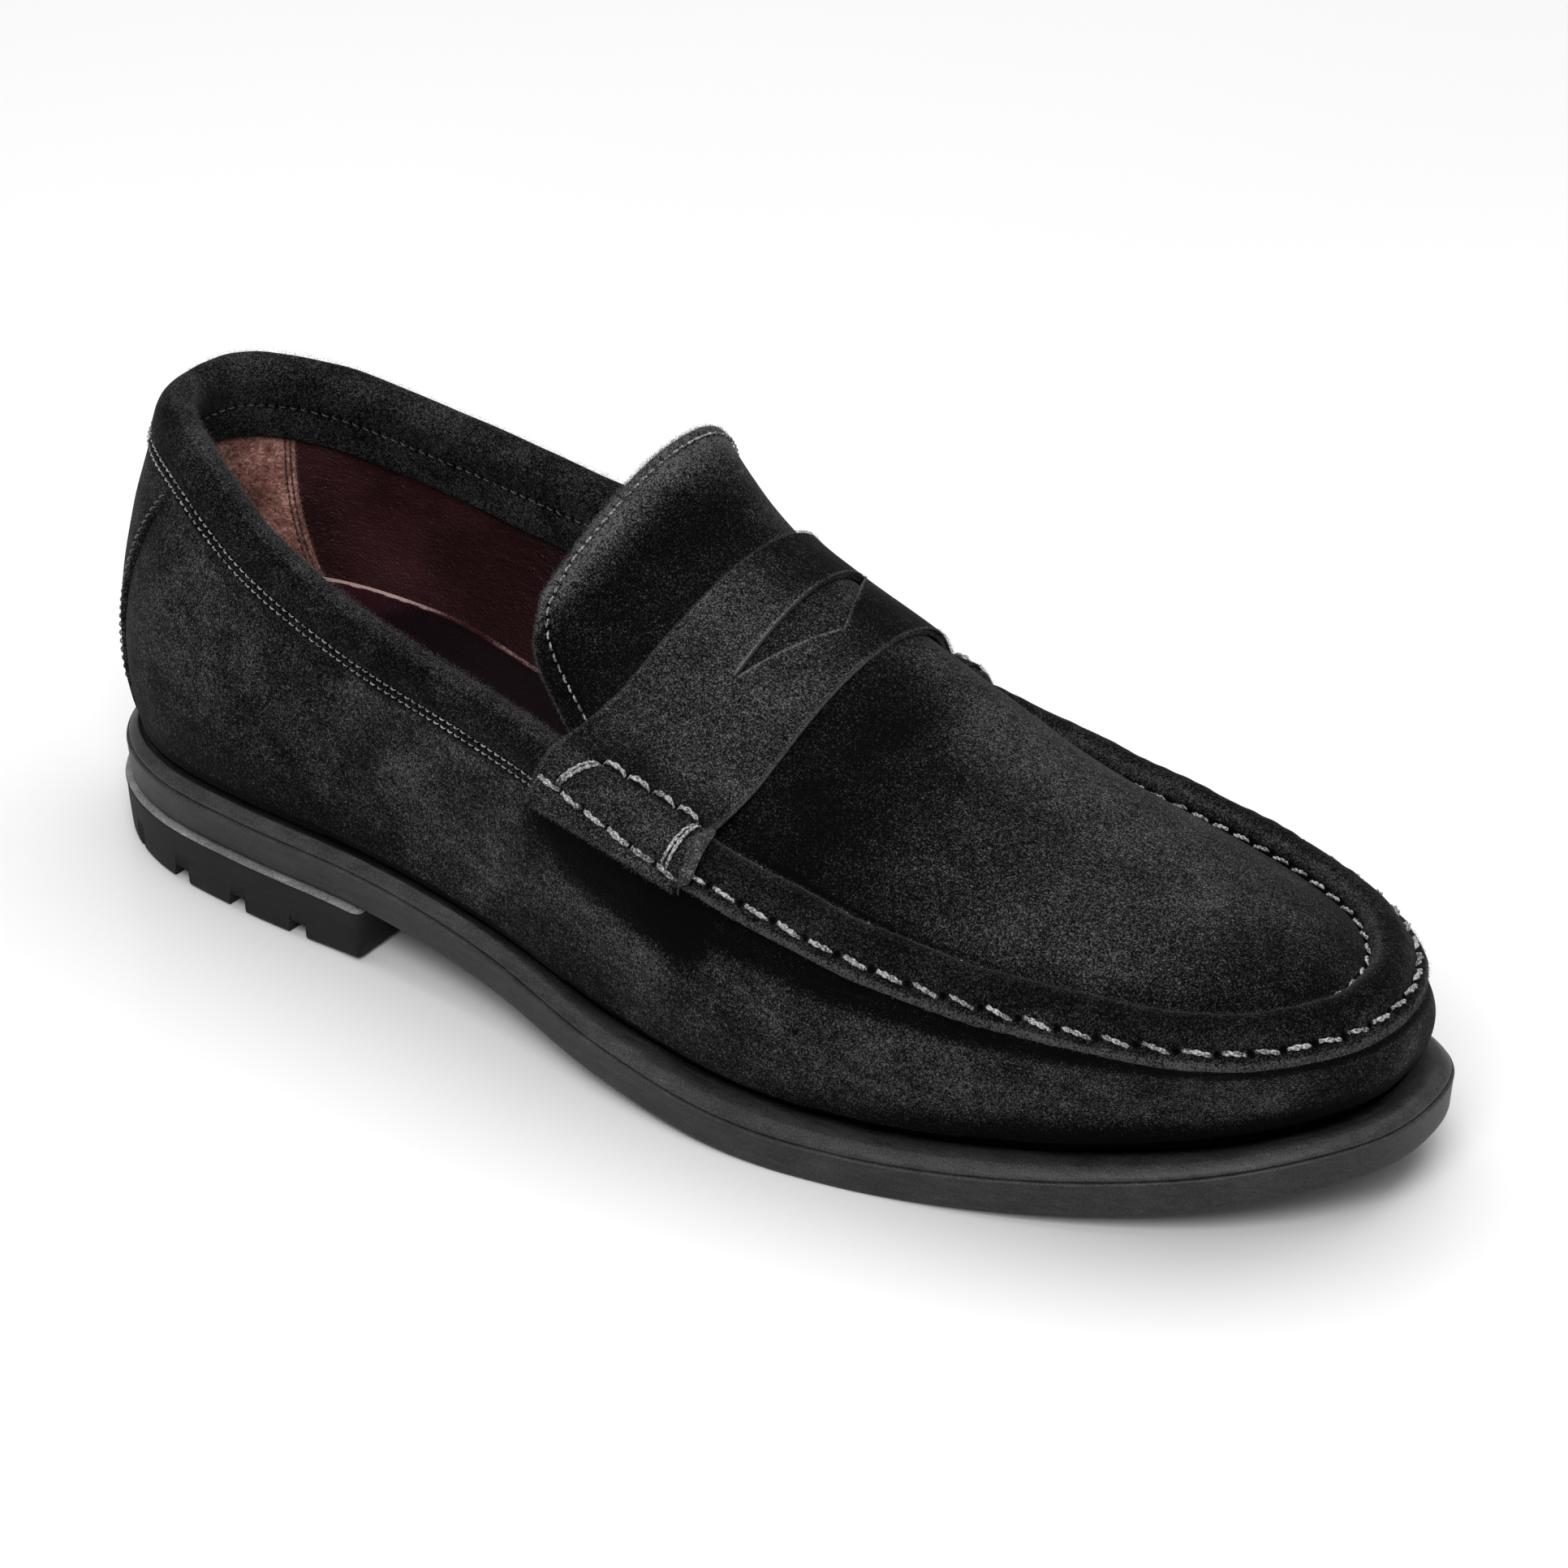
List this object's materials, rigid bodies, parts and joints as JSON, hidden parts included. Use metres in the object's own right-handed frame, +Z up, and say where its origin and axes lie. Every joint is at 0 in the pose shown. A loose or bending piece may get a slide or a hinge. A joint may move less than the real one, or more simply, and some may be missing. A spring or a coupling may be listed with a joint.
{
  "type": "penny loafer",
  "caption": "Black suede penny loafer for the right foot, with a raised moccasin seam, a slotted strap, burgundy lining and a black rubber sole.",
  "frame": {"origin": "on the ground under the middle of the shoe's bounding box", "axes": "+X points to the toe, +Y to the inner (medial) side, +Z up"},
  "size_m": [0.3008, 0.107, 0.1115],
  "materials": {
    "suede": "matte napped black suede",
    "sole_rubber": "matte speckled black rubber",
    "welt_rubber": "smooth satin dark grey rubber",
    "lining_leather": "smooth burgundy leather",
    "sock_leather": "smooth plum leather",
    "nubuck": "matte brown nubuck",
    "thread": "waxed dark grey thread",
    "steel": "brushed steel",
    "insole_board": "matte brown fibre board",
    "cork": "matte cork",
    "foam": "matte off-white foam",
    "stiffener": "matte beige stiffener"
  },
  "bodies": {
    "root": {"outsole": "sole_rubber", "welt": "welt_rubber", "heel_block": "sole_rubber", "heel_nail_1": "steel", "heel_nail_2": "steel", "heel_nail_3": "steel", "heel_nail_4": "steel", "heel_nail_5": "steel", "insole_board": "insole_board", "cork_filler": "cork", "shank": "steel", "footbed_foam": "foam", "sock_liner": "sock_leather", "moccasin_wall": "suede", "heel_counter": "stiffener", "toe_puff": "stiffener", "lining_outer_side": "lining_leather", "lining_inner_side": "lining_leather", "heel_grip": "nubuck", "collar_binding": "suede", "back_strip": "suede", "apron_and_tongue": "suede", "apron_lining": "lining_leather", "raised_seam": "suede", "seam_cord": "foam", "penny_strap": "suede", "thread_seam_outer_row": "thread", "thread_seam_inner_row": "thread", "thread_collar_upper_row": "thread", "thread_collar_lower_row": "thread", "thread_collar_inside_row": "thread", "thread_tongue_edge": "thread", "thread_saddle_outer_side": "thread", "thread_saddle_inner_side": "thread", "thread_back_strip_outer_side": "thread", "thread_back_strip_inner_side": "thread"}
  },
  "joints": []
}
